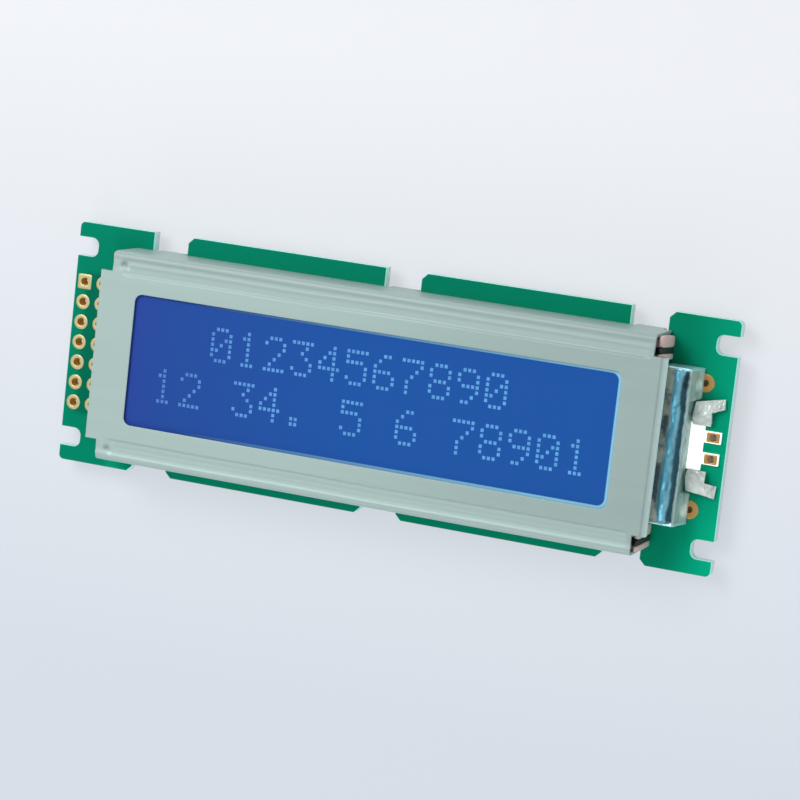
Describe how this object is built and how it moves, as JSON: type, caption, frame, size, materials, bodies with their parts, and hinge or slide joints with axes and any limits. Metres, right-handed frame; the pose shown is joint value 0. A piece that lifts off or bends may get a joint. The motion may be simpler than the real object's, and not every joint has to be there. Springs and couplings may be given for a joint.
{
  "type": "character lcd module",
  "caption": "Character liquid-crystal display module: dot-matrix cell clamped to a circuit board by a folded bezel, with header holes at one end and an edge lamp at the other.",
  "frame": {"origin": "under the middle of the board, on the surface that the resin caps on its back rest on", "axes": "+X along the board from the header holes to the lamp end, +Y across the board to the upper edge of the characters, +Z out of the display's face"},
  "size_m": [0.085, 0.03, 0.0096],
  "materials": {
    "solder_mask_green": "semi-gloss solder mask over glass-epoxy board",
    "gold_plate": "thin gold plating over copper",
    "copper_gold": "warm gold plating over copper",
    "lamp_white": "white laminate",
    "lamp_lens": "white moulding",
    "film_white": "matt white film",
    "guide_clear": "clear moulded guide",
    "foil_mirror": "creased mirror foil",
    "cell_glass": "thin flat glass",
    "polariser_blue": "blue film, semi-gloss",
    "polariser_grey": "grey film",
    "seal_resin": "cured resin",
    "crystal_blue": "liquid crystal layer",
    "plug_resin": "cured clear resin",
    "core_black": "carbon-layered silicone",
    "sponge_pink": "silicone sponge",
    "bezel_paint": "light grey-green satin coat",
    "resin_black": "black potting resin, soft gloss",
    "chip_black": "glazed chip top",
    "chip_tan": "fired ceramic body",
    "terminal_tin": "tinned end caps",
    "solder": "bright solder"
  },
  "bodies": {
    "root": {"pcb": "solder_mask_green", "header_pads": "gold_plate", "contact_fingers": "gold_plate", "spare_lamp_pads": "copper_gold", "lamp_board": "lamp_white", "feed_pads": "copper_gold", "lamps": "lamp_lens", "reflector_film": "film_white", "light_guide": "guide_clear", "diffuser_film": "film_white", "mirror_foil": "foil_mirror", "rear_polariser": "polariser_grey", "rear_glass": "cell_glass", "cell_seal": "seal_resin", "liquid_crystal": "crystal_blue", "fill_plug": "plug_resin", "front_glass": "cell_glass", "front_polariser": "polariser_blue", "connector_cores": "core_black", "connector_sponges": "sponge_pink", "bezel": "bezel_paint", "controller_resin": "resin_black", "driver_resin": "resin_black", "resistor_bodies": "chip_black", "capacitor_bodies": "chip_tan", "chip_terminals": "terminal_tin", "solder_fillets": "solder"}
  },
  "joints": []
}
